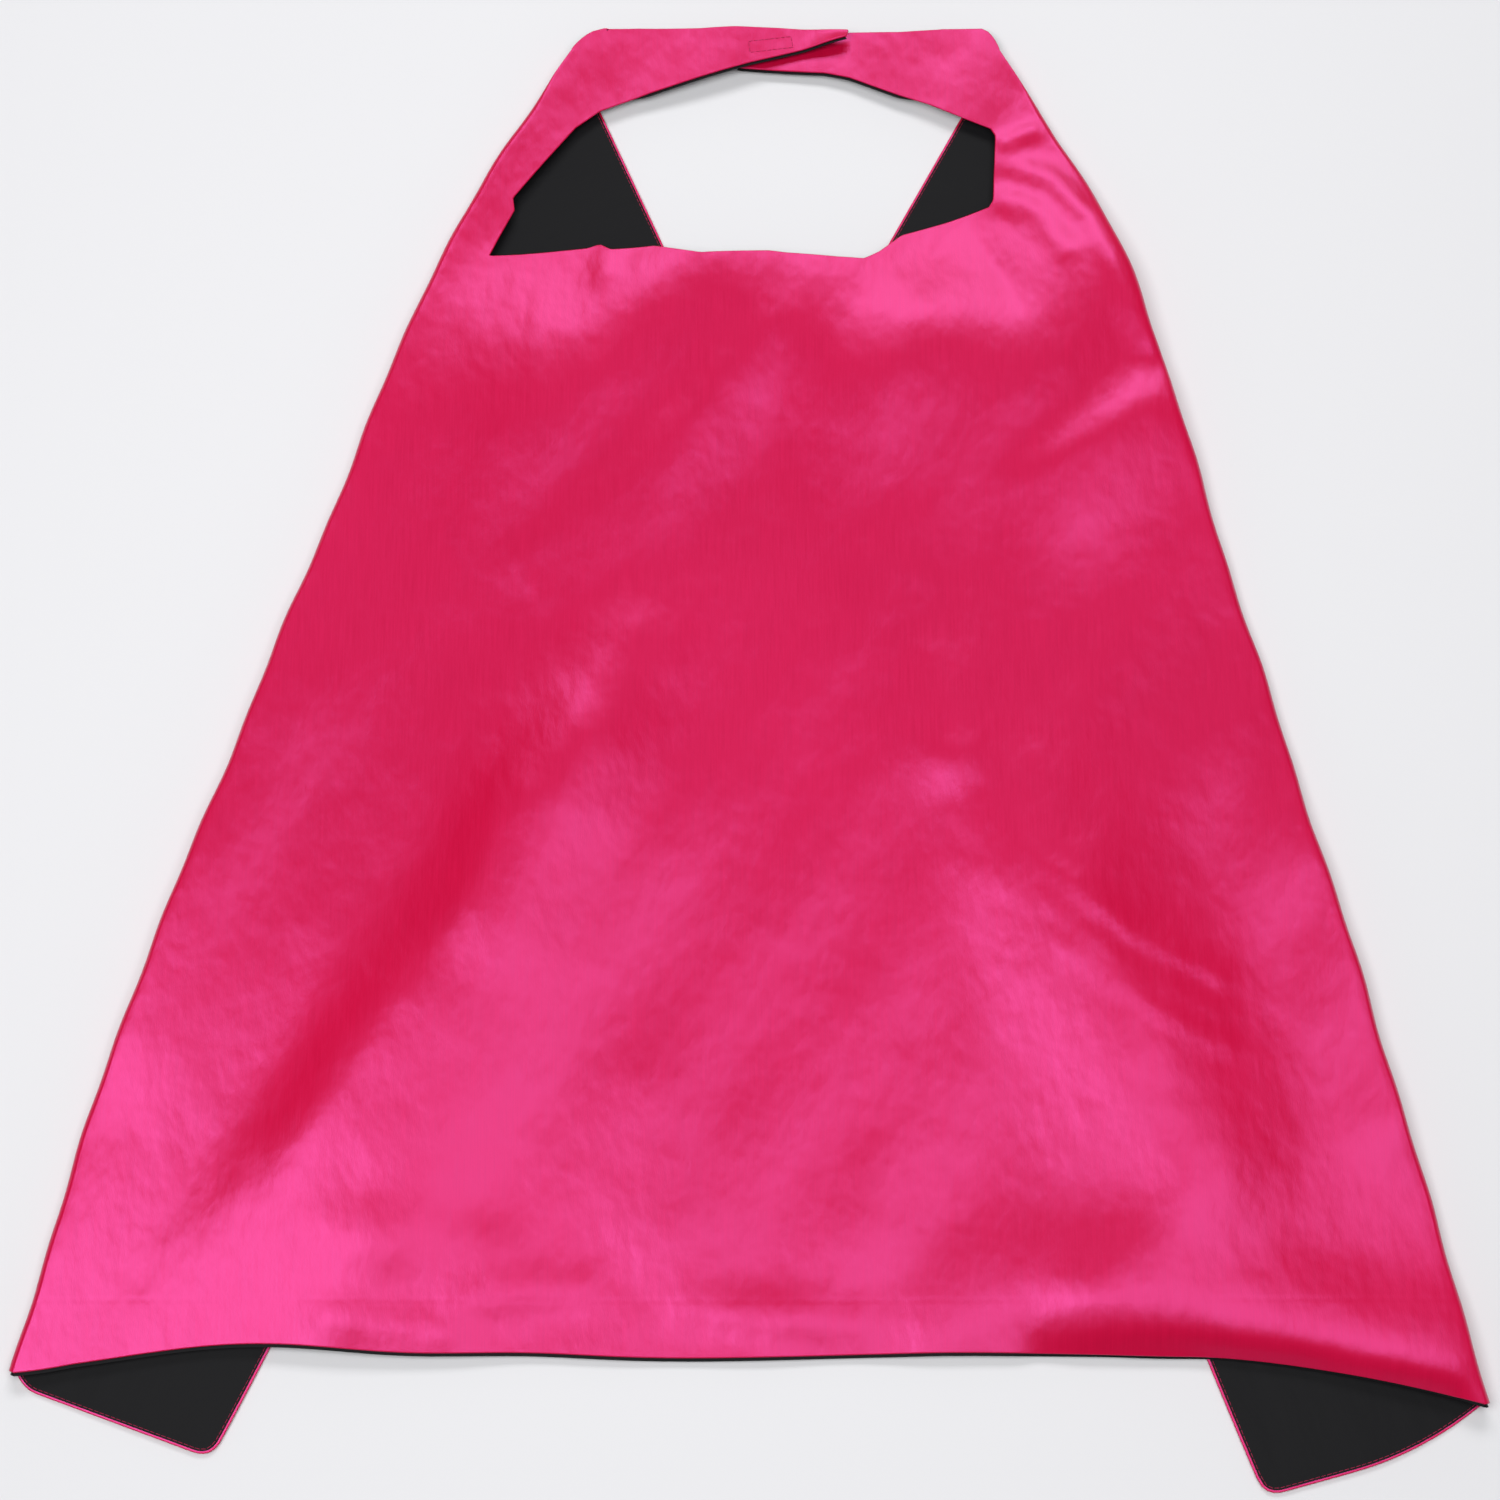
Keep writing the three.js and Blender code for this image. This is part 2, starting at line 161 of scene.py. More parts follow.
def along_way(way, count):
    """Points evenly spaced along a way of straight stretches."""
    way = np.asarray(way)
    steps = np.hypot(*np.diff(way, axis=0).T)
    run = np.concatenate([[0], np.cumsum(steps)])
    at = np.linspace(0, run[-1], count)
    return np.stack([np.interp(at, run, way[:, 0]), np.interp(at, run, way[:, 1])], 1)


def distance_to_way(x, y, way):
    """How far plan points are from a way of straight stretches."""
    nearest = np.full(np.shape(x), far_off)
    for (ax, ay), (bx, by) in zip(way, way[1:]):
        length = math.hypot(bx - ax, by - ay)
        t = np.clip(((x - ax) * (bx - ax) + (y - ay) * (by - ay)) / length**2, 0, 1)
        nearest = np.minimum(nearest, np.hypot(x - ax - t * (bx - ax), y - ay - t * (by - ay)))
    return nearest


def fold_of_cloth(x, y, way, on_left, on_right, tall):
    """The height of one fold of the cloth, which rises gently from the start of its way."""
    if len(way) == 1:
        return tall * np.exp(-((np.hypot(x - way[0][0], y - way[0][1]) / on_left) ** 2))
    spots = along_way(way, way_spots)
    ahead = np.gradient(spots, axis=0)
    ahead = ahead / np.hypot(*ahead.T)[:, None]
    dx, dy = x[..., None] - spots[:, 0], y[..., None] - spots[:, 1]
    off = np.maximum(np.hypot(dx, dy), 1e-6)
    weight = np.exp(-(off**2 - off.min(-1, keepdims=True) ** 2) / blend_area)
    weight = weight / weight.sum(-1, keepdims=True)
    side = (weight * (ahead[:, 0] * dy - ahead[:, 1] * dx) / off).sum(-1)
    share = (weight * np.linspace(0, 1, way_spots)).sum(-1)
    reach = on_left * (1 + side) / 2 + on_right * (1 - side) / 2
    fade = start_height + (1 - start_height) * smooth(share / rising_part)
    return tall * fade * np.exp(-((distance_to_way(x, y, way) / reach) ** 2))


def height(x, y):
    """The shell's height over the table, where it isn't folded under."""
    rise = np.zeros(np.shape(x))
    for fold in (left, right):
        inset = fold.inset(x, y)
        over = np.clip(1 - np.clip(inset, 0, None) / flap_width, 0, None) ** 2
        under = (fold_rise - flap_rise) * over + flap_rise * (1 - smooth((inset - flap_width) / rest_run))
        rise = np.maximum(rise, under)
    folds = np.zeros(np.shape(x))
    for ripple in ripples:
        folds = folds + fold_of_cloth(x, y, *ripple)
    drift = 0.0006 * np.sin(x * 31 + y * 17) * np.sin(y * 23 - x * 11)
    drift = drift + 0.0003 * np.sin(x * 83 - y * 61 + 1)
    return rise + sheet_lift + air_under + np.maximum(folds, -deepest_hollow) + drift


# ---------------- cut of the cloth
# Shell and lining are cut alike. The cut is worked out once as one net of quads over the back, both folds,
# both flaps and both straps. Each quad is marked with the part of the cape that it belongs to.
points, cloth_points, quads, marks = [], [], [], []
BACK, LEFT, RIGHT, UPPER, LOWER = range(5)


def add_points(positions, cloth):
    """Adds points with their places on the flat cloth, and gives their numbers."""
    first = len(points)
    points.extend(np.asarray(positions).tolist())
    cloth_points.extend(np.asarray(cloth).tolist())
    return np.arange(first, len(points))


def add_net(net, mark, turned=False):
    """Quads between the rows of a net of point numbers, facing the shell's outside."""
    for low, high in zip(net, net[1:]):
        for k in range(len(low) - 1):
            quad = (low[k], low[k + 1], high[k + 1], high[k])
            quads.append(quad[::-1] if turned else quad)
            marks.append(mark)


def curve(a, b, c, count=9):
    """A curve from a to c that leaves and arrives on the lines to b."""
    t = np.linspace(0, 1, count)[:, None]
    return (1 - t) ** 2 * np.asarray(a) + 2 * t * (1 - t) * np.asarray(b) + t**2 * np.asarray(c)


# The back, from the hem up to the top edge. Its rows end where the cloth starts to turn under at each fold.
turn = 0.0034  # from the fold's outline in to where the cloth lies level again
top_turn = 0.0008  # the same at the top, where the turn is pressed flat
top_turn_ends, top_turn_run = 0.016, 0.030  # below the top
shoulder_drop = 0.012
neck_low = 0.556  # the rows are closer together from here up
body_rows = np.linspace(0, neck_low, 140)
neck_rows = np.linspace(neck_low, cape_length - shoulder_drop, 62)[1:]
corner_rows = np.linspace(cape_length - shoulder_drop, cape_length, 8)[1:]
fold_rows = np.concatenate([body_rows, neck_rows])
columns = 150
hem_run = 0.136  # how far from each fold the hem dips
hem_reach = 0.120  # how far up the rows follow the hem's dip
# Where the hem arches up between the folds: the middle, the half width and the rise of each arch.
hem_arches = [(-0.245, 0.070, 0.0072), (-0.110, 0.045, 0.0026), (0.105, 0.085, 0.0027)]
arch_start = 0.03
left_corner_width, right_corner_width = 0.017, 0.009


def turn_at(fold, run):
    """How far the cloth's turn reaches in from the fold's outline."""
    below_top = cape_length / fold.along[1] - run
    return top_turn + (turn - top_turn) * smooth((below_top - top_turn_ends) / top_turn_run)


def row_ends(fold):
    """Plan points where the rows meet a fold's turn, and each row's run along the fold."""
    y = fold_rows - fold.hem_dip * smooth(1 - fold_rows / hem_reach)
    run = fold.run_at(y, 0.02)
    for _ in range(6):  # a row's run and inset depend on each other, and settle in a few rounds
        run = fold.run_at(y, fold.stray(run) + turn_at(fold, run))
    inset = fold.stray(run) + turn_at(fold, run)
    return fold.point(0, 0) + np.outer(inset, fold.inward) + np.outer(run, fold.along), run


left_ends, left_runs = row_ends(left)
right_ends, right_runs = row_ends(right)
slanting, rounded = 0.45, 0.55  # how far a top corner is a straight slant, and how far a quarter round
t = (corner_rows - corner_rows[0] + corner_rows[1] - corner_rows[0]) / shoulder_drop
rounding = slanting * t + rounded * (1 - np.sqrt(np.clip(1 - t**2, 0, 1)))
for_left = left_ends[-1][0] + left_corner_width * rounding
for_right = right_ends[-1][0] - right_corner_width * rounding
all_left = np.vstack([left_ends, np.stack([for_left, corner_rows], 1)])
all_right = np.vstack([right_ends, np.stack([for_right, corner_rows], 1)])

share = np.linspace(0, 1, columns + 1)
plan = all_left[:, None, :] * (1 - share[None, :, None]) + all_right[:, None, :] * share[None, :, None]
flat_rows = np.concatenate([fold_rows, corner_rows])[:, None]
dip = np.zeros(plan.shape[:2])
for fold, ends in ((left, all_left), (right, all_right)):
    off_end = np.abs(plan[:, :, 0] - ends[:, None, 0])
    dip = dip + fold.hem_dip * np.clip(1 - off_end / hem_run, 0, 1) ** 1.6
from_fold = smooth((plan[:, :, 0] - all_left[:, None, 0]) / arch_start)
for middle_x, half_width, arch in hem_arches:
    dip = dip - arch * np.exp(-(((plan[:, :, 0] - middle_x) / half_width) ** 2)) * from_fold
plan[:, :, 1] = flat_rows - dip * smooth(1 - flat_rows / hem_reach)
plan[:, 0] = all_left
plan[:, -1] = all_right

# The neck hole and the gap between the straps' roots, walked from the left root's top to the right one's.
left_root_x, right_root_x, root_low, strap_root_width = -0.070, 0.095, 0.657, 0.043
root_lean = math.tan(math.radians(9)) * strap_root_width
left_root = [(left_root_x - root_lean, cape_length), (left_root_x, root_low)]
right_root = [(right_root_x, root_low), (right_root_x + root_lean, cape_length)]
neck_edge = [
    (-0.080, 0.653), (-0.093, 0.643), (-0.110, 0.622), (-0.1255, 0.602), (-0.1245, 0.595), (-0.132, 0.580),
    (-0.1375, 0.568), (-0.120, 0.5685), (-0.085, 0.5715), (-0.079, 0.5735), (-0.073, 0.570), (-0.050, 0.5715),
    (-0.036, 0.5685), (-0.026, 0.5665), (0.010, 0.5685), (0.045, 0.566), (0.060, 0.5655), (0.068, 0.570),
    (0.080, 0.580), (0.102, 0.587), (0.126, 0.596), (0.1285, 0.600), (0.1295, 0.618), (0.1305, 0.638),
    (0.128, 0.6425), (0.115, 0.648),
]
cut_way = np.array(left_root + neck_edge + right_root)


def inside(x, y, outline):
    """Which plan points lie inside a closed outline."""
    hits = np.zeros(np.shape(x), bool)
    for (ax, ay), (bx, by) in zip(outline, np.roll(outline, -1, axis=0)):
        if ay != by:
            hits ^= ((ay > y) != (by > y)) & (x < (bx - ax) * (y - ay) / (by - ay) + ax)
    return hits


past_top = 0.8
outline = np.vstack([cut_way, [(right_root_x + root_lean, past_top), (left_root_x - root_lean, past_top)]])
middle = (plan[:-1, :-1] + plan[1:, :-1] + plan[:-1, 1:] + plan[1:, 1:]) / 4
kept = ~inside(middle[:, :, 0], middle[:, :, 1], outline)
touched = np.zeros(plan.shape[:2], int)
for di in (0, 1):
    for dj in (0, 1):
        touched[di : di + kept.shape[0], dj : dj + kept.shape[1]] += kept
used = touched > 0
rim = used & (touched < 4)
rim[0], rim[:, 0], rim[:, -1] = False, False, False
rim[-1] &= touched[-1] < 2


def nearest_on_way(where, way):
    """The nearest point of a way to each given point, with the stretch that it lies on."""
    best = np.full(len(where), far_off)
    spot = np.zeros_like(where)
    stretch = np.zeros(len(where), int)
    for k, (a, b) in enumerate(zip(way, way[1:])):
        t = np.clip((where - a) @ (b - a) / ((b - a) @ (b - a)), 0, 1)
        foot = a + t[:, None] * (b - a)
        gap = np.hypot(*(where - foot).T)
        closer = gap < best
        best[closer], spot[closer], stretch[closer] = gap[closer], foot[closer], k
    return spot, stretch


# The rim moves onto the cut, and the points behind it are evened out.
evened_reach, evened_times = 0.014, 12
rim_points, rim_stretch = nearest_on_way(plan[rim], cut_way)
for corner, root_stretch in ((cut_way[1], 0), (cut_way[-2], len(cut_way) - 2)):
    at_corner = np.hypot(*(rim_points - corner).T).argmin()
    rim_points[at_corner], rim_stretch[at_corner] = corner, root_stretch
plan[rim] = rim_points
loose = used & ~rim
loose[0], loose[-1], loose[:, 0], loose[:, -1] = False, False, False, False
loose &= distance_to_way(plan[:, :, 0], plan[:, :, 1], cut_way) < evened_reach
for _ in range(evened_times):
    total, number = np.zeros_like(plan), np.zeros(used.shape)
    for shift, axis in ((1, 0), (-1, 0), (1, 1), (-1, 1)):
        beside = np.roll(used, shift, axis)
        total += np.roll(plan, shift, axis) * beside[:, :, None]
        number += beside
    plan[loose] += 0.5 * (total[loose] / number[loose][:, None] - plan[loose])

numbers = np.full(plan.shape[:2], -1)
level = height(plan[:, :, 0], plan[:, :, 1])
positions = np.dstack([plan, level])
numbers[used] = add_points(positions[used], plan[used])
for i, j in np.argwhere(kept):
    quads.append((numbers[i, j], numbers[i, j + 1], numbers[i + 1, j + 1], numbers[i + 1, j]))
    marks.append(BACK)


# The folds and the flaps. The cloth turns round half an oval and runs back under the cape along the table.
flap_level = 0.0003
flap_columns = 40
flap_hem_width, flap_flare, flap_corner = 0.122, 0.250, 0.009
flap_wave = 0.0006
shoulder_lean = math.tan(math.radians(43.5))
side_spots = 400
turn_rings = 5  # on each side of the band that bends
band_top, band_bottom = 0.0006, -0.0011  # that band, measured from the hinge
deepest_drop = 0.00055  # of the lining


def flap_edges(fold, ends, hem_drop):
    """The flap's hem from the fold to its corner, its own side up from there, and its shoulder."""
    start = ends[0]
    inset = fold.inset(*start)
    top_inset = fold.inset(*ends[-1])
    top_run = (ends[-1] - fold.start) @ fold.along
    shoulder_run = top_run - (flap_width - top_inset) / shoulder_lean
    bend_middle = fold.point(inset + hem_drop, -hem_drop)
    bend_end = fold.point(inset + 2 * hem_drop, -hem_drop)
    bend = curve(start, bend_middle, bend_end)
    corner = fold.point(flap_hem_width, -hem_drop)
    flare = curve(corner, fold.point(flap_width, flap_flare), fold.point(flap_width, shoulder_run), 40)
    to_fold = (bend[-1] - corner) / np.hypot(*(bend[-1] - corner))
    to_side = (flare[1] - corner) / np.hypot(*(flare[1] - corner))
    rounding = curve(corner + to_fold * flap_corner, corner, corner + to_side * flap_corner)
    past = np.hypot(*(flare - corner).T) > flap_corner
    hem = np.vstack([bend, rounding[:5]])
    side = np.vstack([rounding[4:], flare[past]])
    return hem, side, np.array([side[-1], ends[-1]])


def flap_height(fold, x, y):
    """The underside of a flap over the table. It lies flat, apart from a few low waves."""
    run = (x - fold.start[0]) * fold.along[0] + (y - fold.start[1]) * fold.along[1]
    inset = fold.inset(x, y)
    wave = 0.5 + 0.5 * np.sin(run * 38 + inset * 25 + fold.sign)
    return flap_level + flap_wave * wave * smooth((inset - 0.02) / 0.05)


def net_between(low, high, start, end, share):
    """A net of plan points between four edges, with its rows at shares of the start."""
    a = np.linspace(0, 1, len(low))[None, :, None]
    b = share[:, None, None]
    across = (1 - a) * start[:, None] + a * end[:, None]
    upward = (1 - b) * low[None] + b * high[None]
    corners = (1 - a) * (1 - b) * low[0] + a * (1 - b) * low[-1] + (1 - a) * b * high[0] + a * b * high[-1]
    return across + upward - corners


# How much lower the lining lies inside a fold, so that it stays behind the shell as the fold opens.
lining_drop = {}


def add_flap(fold, ends, runs, edge, mark, hem_drop):
    """A fold's turn, ring by ring from the back down to the table, and the flap that runs on from it."""
    top_level = height(ends[:, 0], ends[:, 1])
    centre = (top_level + flap_level) / 2
    tall = (top_level - flap_level) / 2
    wide = turn_at(fold, runs)
    upper_turn = np.arccos(np.clip((fold.level + band_top - centre) / tall, -1, 1))
    lower_turn = np.arccos(np.clip((fold.level + band_bottom - centre) / tall, -1, 1))
    turns = [upper_turn * k / turn_rings for k in range(1, turn_rings + 1)]
    turns += [lower_turn + (math.pi - lower_turn) * k / turn_rings for k in range(turn_rings + 1)]
    rings = [numbers[: len(fold_rows), edge]]
    fabric = 0
    previous = np.stack([wide * 0, top_level], 1)
    for angle in turns:
        out = wide * np.sin(angle)
        z = centre + tall * np.cos(angle)
        here = np.stack([out, z], 1)
        fabric = fabric + np.hypot(*(here - previous).T)
        previous = here
        place = ends - out[:, None] * fold.inward
        cloth = ends - fabric[:, None] * fold.inward
        rings.append(add_points(np.column_stack([place, z]), cloth))
        if len(rings) <= turn_rings + 1:
            lining_drop.update((int(v), deepest_drop * (len(rings) - 1) / turn_rings) for v in rings[-1])
    hem, side, shoulder = flap_edges(fold, ends, hem_drop)
    share = (runs - runs[0]) / (runs[-1] - runs[0])
    side_points = along_way(side, side_spots)[np.round(share * (side_spots - 1)).astype(int)]
    low = along_way(hem, flap_columns)
    high = along_way(shoulder[::-1], flap_columns)
    net = net_between(low, high, ends, side_points, share)
    under = flap_height(fold, net[:, :, 0], net[:, :, 1])
    under[:, 0] = flap_level
    unfolded = net - 2 * fold.inset(net[:, :, 0], net[:, :, 1])[:, :, None] * fold.inward
    mirror = fold.inset(ends[:, 0], ends[:, 1])[:, None, None] - fabric[:, None, None] / 2
    unfolded += 2 * mirror * fold.inward
    for k in range(1, flap_columns):
        rings.append(add_points(np.column_stack([net[:, k], under[:, k]]), unfolded[:, k]))
    add_net(rings, mark, turned=fold is right)


add_flap(left, left_ends, left_runs, 0, LEFT, hem_drop=0.006)
add_flap(right, right_ends, right_runs, -1, RIGHT, hem_drop=0.034)

# The straps, each from its root to its tip. The lower one lies level, and the upper one climbs over it and
# its tape, with its tip standing a little free.
strap_feet = {}  # points on the straps' lower edges, and how fully the lining shows at each
foot_rows = 9.0  # over which it comes out


def root_line(stretches):
    """The net's points on a root, from its lower end to its upper one."""
    on = np.argwhere(rim)[np.isin(rim_stretch, stretches)]
    spots = plan[on[:, 0], on[:, 1]]
    order = np.argsort(spots[:, 1])
    return numbers[on[order, 0], on[order, 1]], spots[order]


def lower_strap_height(x, y):
    """The lower strap sinks a little on its way under the upper one."""
    return height(x, y) - 0.0012 * smooth((right_root_x - x) / 0.060)


def upper_strap_height(x, y):
    """The upper strap climbs onto the lower one, and its tip stands free."""
    climb = 0.0036 * smooth((x - left_root_x) / 0.064)
    tip = 0.0042 * smooth((x - 0.026) / 0.024) * (1 - 0.45 * smooth((y - 0.688) / 0.010))
    return height(x, y) + climb + tip


def add_strap(stretches, lower_way, upper_way, count, over, mark):
    """A strap's net from the root's points to its tip, between its lower and its upper edge."""
    root, spots = root_line(stretches)
    share = (spots[:, 1] - spots[0, 1]) / (spots[-1, 1] - spots[0, 1])
    low = along_way(np.vstack([spots[:1], lower_way]), count)
    high = along_way(np.vstack([spots[-1:], upper_way]), count)
    tip = low[-1] + share[:, None] * (high[-1] - low[-1])
    net = net_between(low, high, spots, tip, share)
    rows = [root]
    for k in range(1, count):
        x, y = net[:, k, 0], net[:, k, 1]
        rows.append(add_points(np.column_stack([x, y, over(x, y)]), net[:, k]))
    add_net(rows, mark, turned=mark == UPPER)
    strap_feet.update((int(row[0]), smooth(k / foot_rows)) for k, row in enumerate(rows))


add_strap(
    [0],
    [(-0.053, 0.6635), (-0.027, 0.672), (0.0, 0.6805), (0.027, 0.6875), (0.0510, 0.6940)],
    [(-0.060, 0.7000), (-0.027, 0.6993), (-0.008, 0.7002), (0.016, 0.6995), (0.0520, 0.6972)],
    62, upper_strap_height, UPPER,
)
add_strap(
    [len(cut_way) - 2],
    [(0.080, 0.6625), (0.053, 0.6735), (0.040, 0.6765), (0.020, 0.6778), (-0.006, 0.6795)],
    [(0.080, 0.6985), (0.040, 0.6990), (-0.006, 0.6990)],
    52, lower_strap_height, LOWER,
)

# The whole net in the frame's own place, with its normals and the loop of points along its sewn edge.
net = np.array(points) + [origin_x, origin_y, 0]
cloth = np.array(cloth_points)
faces = np.array(quads)
marks = np.array(marks)


def unit(vectors):
    """Vectors of length one."""
    return vectors / np.maximum(np.linalg.norm(vectors, axis=1), 1e-12)[:, None]


def point_normals(where):
    """The normals of the net's points, when they lie at the given places."""
    across = np.cross(where[faces[:, 2]] - where[faces[:, 0]], where[faces[:, 3]] - where[faces[:, 1]])
    total = np.zeros_like(where)
    for corner in range(4):
        np.add.at(total, faces[:, corner], across)
    return unit(total)


def quad_sides(some_faces):
    """The sides of quads, each as its two points in order."""
    return [(a, b) for quad in some_faces.tolist() for a, b in zip(quad, quad[1:] + quad[:1])]


facing = point_normals(net)
sides = quad_sides(faces)
mark_of_side = dict(zip(sides, np.repeat(marks, 4).tolist()))
edge_next = {a: b for a, b in sides if (b, a) not in mark_of_side}
loop = [min(edge_next)]
while edge_next[loop[-1]] != loop[0]:
    loop.append(edge_next[loop[-1]])
loop = np.array(loop)
ahead = unit(np.roll(net[loop], -1, axis=0) - np.roll(net[loop], 1, axis=0))
outward = unit(np.cross(ahead, facing[loop]))


# ---------------- satin and lining
# The shell is a shiny crimson polyester satin, and the lining a dull black one. Both are woven so fine that
# the threads only show close up, and both have soft creases from having been folded in a packet.
class Shade:
    """A socket of a material's nodes that takes part in sums."""

    def __init__(self, tree, socket):
        self.tree, self.socket = tree, socket

    def put(self, kind, settings, inputs, output=0):
        node = self.tree.nodes.new(kind)
        for key, value in settings.items():
            setattr(node, key, value)
        for key, value in inputs.items():
            if isinstance(value, Shade):
                self.tree.links.new(value.socket, node.inputs[key])
            else:
                node.inputs[key].default_value = value
        return Shade(self.tree, node.outputs[output])

    def maths(self, operation, a, b=0.0):
        return self.put("ShaderNodeMath", {"operation": operation}, {0: a, 1: b})

    def __add__(self, other):
        return self.maths("ADD", self, other)

    def __sub__(self, other):
        return self.maths("SUBTRACT", self, other)

    def __mul__(self, other):
        return self.maths("MULTIPLY", self, other)

    def size(self):
        return self.maths("ABSOLUTE", self)

    def wave(self):
        return self.maths("SINE", self)

    def ramp(self, low, high, first=0.0, last=1.0):
        """Goes smoothly from first to last as this value goes from low to high."""
        ends = {"Value": self, "From Min": low, "From Max": high, "To Min": first, "To Max": last}
        return self.put("ShaderNodeMapRange", {"interpolation_type": "SMOOTHSTEP"}, ends)

    def stretched(self, sizes, turned=0.0):
        settings = {"Vector": self, "Scale": sizes, "Rotation": (0, 0, turned)}
        return self.put("ShaderNodeMapping", {}, settings)

    def noise(self, scale, detail=2.0, rough=0.5):
        settings = {"Vector": self, "Scale": scale, "Detail": detail, "Roughness": rough}
        return self.put("ShaderNodeTexNoise", {}, settings)

    def part(self, name):
        return self.put("ShaderNodeSeparateXYZ", {}, {0: self}, name)

    def blend(self, first, last):
        """A colour between two colours."""
        node = self.tree.nodes.new("ShaderNodeMix")
        node.data_type = "RGBA"
        factor, colour_a, colour_b, colour_out = 0, 6, 7, 2  # its sockets for colours
        self.tree.links.new(self.socket, node.inputs[factor])
        node.inputs[colour_a].default_value = first
        node.inputs[colour_b].default_value = last
        return Shade(self.tree, node.outputs[colour_out])


def new_material(name, fixed):
    """A plain shader with its fixed values, and the cloth's own coordinates."""
    material = bpy.data.materials.new(name)
    material.use_nodes = True
    tree = material.node_tree
    shader = tree.nodes["Principled BSDF"]
    for key, value in fixed.items():
        shader.inputs[key].default_value = value
    node = tree.nodes.new("ShaderNodeUVMap")
    node.uv_map = "cut"
    return material, Shade(tree, node.outputs[0]), shader


def connect(shader, where, **varying):
    """Joins varying values to the shader's sockets, and heights in metres as bumps."""
    for key, value in varying.items():
        if key == "bump":
            value = where.put("ShaderNodeBump", {}, {"Strength": 1.0, "Distance": 1.0, "Height": value})
            key = "Normal"
        where.tree.links.new(value.socket, shader.inputs[key.replace("_", " ")])


satin_thread, float_height = 0.00035, 0.000035
slub_sizes = (1500, 40, 1)


def woven(where):
    """Height of a satin weave with long floats along the cloth."""
    floats = where.stretched((1 / satin_thread, 0.16 / satin_thread, 1))
    return floats.noise(1.0, 1.0) * float_height


# The satin's own colour is a deep crimson, and its sheen is a paler, bluer pink.
sheen = (1.0, 0.21, 0.78, 1)
satin, cut, shader = new_material("shell_satin", {"Specular IOR Level": 1.0, "Specular Tint": sheen})
cloud = cut.noise(5.0, 3.0)
slub = cut.stretched(slub_sizes).noise(1.0, 2.0)
tint = (cloud * 0.5 + slub * 0.5).ramp(0.3, 0.7)
crumple = cut.stretched((30, 22, 1), 0.6).noise(1.0, 2.5, 0.5) * 0.0011
dapple = cut.stretched((62, 46, 1), 0.9).noise(1.0, 2.0, 0.5) * 0.00042
fine_crumple = cut.stretched((150, 70, 1), -0.5).noise(1.0, 2.0, 0.5) * 0.00016
hem_press_line, hem_press_width = 0.027, 0.0025  # pressed in when the hem was ironed
hem_press = (cut.part("Y") - hem_press_line).size().ramp(0.0, hem_press_width) * 0.00003
connect(
    shader, cut,
    Base_Color=tint.blend((0.49, 0.0008, 0.029, 1), (0.55, 0.0010, 0.035, 1)),
    Roughness=(cloud * 0.08 + slub * 0.06) + 0.25,
    bump=crumple + dapple + fine_crumple + hem_press + woven(cut),
)

black, cut, shader = new_material("lining_satin", {"Specular IOR Level": 0.12})
slub = cut.stretched(slub_sizes).noise(1.0, 2.0)
connect(
    shader, cut,
    Base_Color=slub.blend((0.0045, 0.0045, 0.0055, 1), (0.008, 0.008, 0.009, 1)),
    Roughness=slub * 0.10 + 0.58,
    bump=cut.stretched((60, 25, 1), 0.4).noise(1.0, 2.0) * 0.0008 + woven(cut),
)


# ---------------- shell and lining
# The two layers are sewn together inside out along the whole edge and turned. So the shell's edge is a
# narrow roll, turned under to the lining, and the lining is fixed behind it. Each moving part is its own
# stretch.
roll, roll_steps = 0.0006, 6
shell_cloth, lining_cloth = 0.0003, 0.00025
roll_tuck = 0.0012  # how far the rolled edge is turned in over the lining
gap = 2 * roll
lining_back, lining_out_at_hem, lining_out_at_straps = -0.0006, 0.0021, 0.0024
hem_band = 0.010  # no other edge of the back lies this near the hem
over_flaps = 0.0026  # the back's hem lies above this level, and the flaps' hems below it
edge = net[loop]
edge_facing = facing[loop]
rings, ring_facings = [], []
for step in range(1, roll_steps + 1):
    angle = math.pi * step / roll_steps
    rings.append(edge + outward * roll * math.sin(angle) - edge_facing * roll * (1 - math.cos(angle)))
    ring_facings.append(edge_facing * math.cos(angle) + outward * math.sin(angle))
rings.append(edge - outward * roll_tuck - edge_facing * gap)
ring_facings.append(-edge_facing)
place_in_loop = {int(v): k for k, v in enumerate(loop)}


